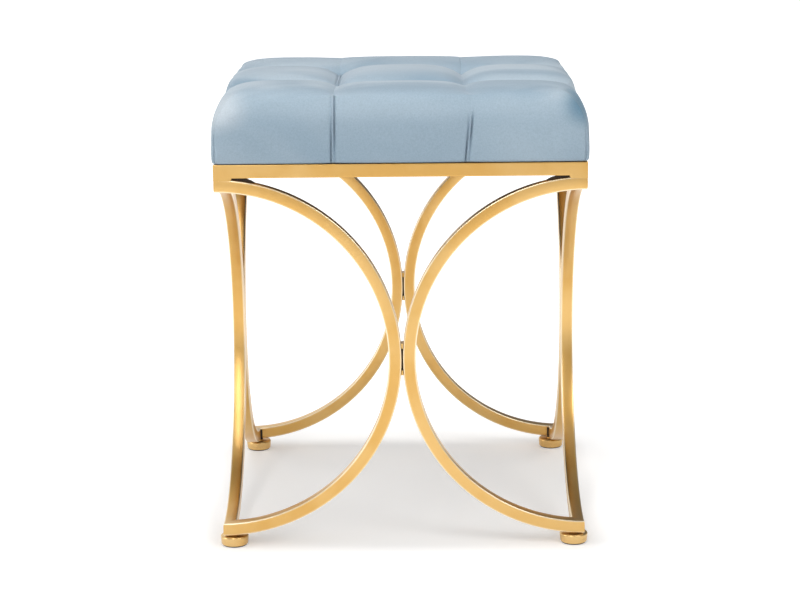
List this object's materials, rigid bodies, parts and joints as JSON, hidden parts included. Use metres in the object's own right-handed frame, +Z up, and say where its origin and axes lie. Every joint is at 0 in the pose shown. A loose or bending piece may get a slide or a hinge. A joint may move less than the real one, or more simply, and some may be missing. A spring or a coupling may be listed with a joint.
{
  "type": "ottoman",
  "caption": "Square tufted ottoman: a crowned velvet seat on a gold frame of back-to-back half-circle tube bows, standing on screw-in levelling feet.",
  "frame": {"origin": "on the floor, under the middle of the seat", "axes": "+Z up; the pictured front faces -Y; +X to the right seen from the front"},
  "size_m": [0.3674, 0.3674, 0.4598],
  "materials": {
    "velvet": "pale blue short-pile velvet",
    "gold_paint": "satin gold",
    "gold_foot": "satin gold",
    "zinc_steel": "zinc plated",
    "foam": "polyurethane foam",
    "plywood": "raw plywood",
    "dust_cloth": "black non-woven cloth"
  },
  "bodies": {
    "frame": {"bow_back_left": "gold_paint", "bow_back_right": "gold_paint", "bow_front_left": "gold_paint", "bow_front_right": "gold_paint", "bow_left_back": "gold_paint", "bow_left_front": "gold_paint", "bow_right_back": "gold_paint", "bow_right_front": "gold_paint", "dust_cover": "dust_cloth", "foot_nuts": "zinc_steel", "gusset_back_left": "gold_paint", "gusset_back_right": "gold_paint", "gusset_front_left": "gold_paint", "gusset_front_right": "gold_paint", "rail_back": "gold_paint", "rail_front": "gold_paint", "rail_left": "gold_paint", "rail_right": "gold_paint", "rail_welds": "gold_paint", "seat_board": "plywood", "seat_cover": "velvet", "seat_foam": "foam", "spot_welds": "gold_paint", "tuft_buttons": "velvet"},
    "stud_front_left": {"foot_stud_front_left": "zinc_steel"},
    "foot_front_left": {"foot_pad_front_left": "gold_foot"},
    "stud_front_right": {"foot_stud_front_right": "zinc_steel"},
    "foot_front_right": {"foot_pad_front_right": "gold_foot"},
    "stud_back_right": {"foot_stud_back_right": "zinc_steel"},
    "foot_back_right": {"foot_pad_back_right": "gold_foot"},
    "stud_back_left": {"foot_stud_back_left": "zinc_steel"},
    "foot_back_left": {"foot_pad_back_left": "gold_foot"}
  },
  "joints": [
    {"name": "raise_front_left", "type": "slide", "parent": "frame", "child": "stud_front_left", "axis": [0, 0, -1], "range_m": [0, 0.006]},
    {"name": "turn_front_left", "type": "hinge", "parent": "stud_front_left", "child": "foot_front_left", "pos_m": [-0.1697, -0.1697, 0.005], "axis": [0, 0, -1], "range_deg": [0, 2159]},
    {"name": "raise_front_right", "type": "slide", "parent": "frame", "child": "stud_front_right", "axis": [0, 0, -1], "range_m": [0, 0.006]},
    {"name": "turn_front_right", "type": "hinge", "parent": "stud_front_right", "child": "foot_front_right", "pos_m": [0.1697, -0.1697, 0.005], "axis": [0, 0, -1], "range_deg": [0, 2159]},
    {"name": "raise_back_right", "type": "slide", "parent": "frame", "child": "stud_back_right", "axis": [0, 0, -1], "range_m": [0, 0.006]},
    {"name": "turn_back_right", "type": "hinge", "parent": "stud_back_right", "child": "foot_back_right", "pos_m": [0.1697, 0.1697, 0.005], "axis": [0, 0, -1], "range_deg": [0, 2159]},
    {"name": "raise_back_left", "type": "slide", "parent": "frame", "child": "stud_back_left", "axis": [0, 0, -1], "range_m": [0, 0.006]},
    {"name": "turn_back_left", "type": "hinge", "parent": "stud_back_left", "child": "foot_back_left", "pos_m": [-0.1697, 0.1697, 0.005], "axis": [0, 0, -1], "range_deg": [0, 2159]}
  ],
  "couplings": [
    {"joint": "raise_front_left", "follows": "turn_front_left", "m_per_rad": 0.00015915},
    {"joint": "raise_front_right", "follows": "turn_front_right", "m_per_rad": 0.00015915},
    {"joint": "raise_back_right", "follows": "turn_back_right", "m_per_rad": 0.00015915},
    {"joint": "raise_back_left", "follows": "turn_back_left", "m_per_rad": 0.00015915}
  ]
}
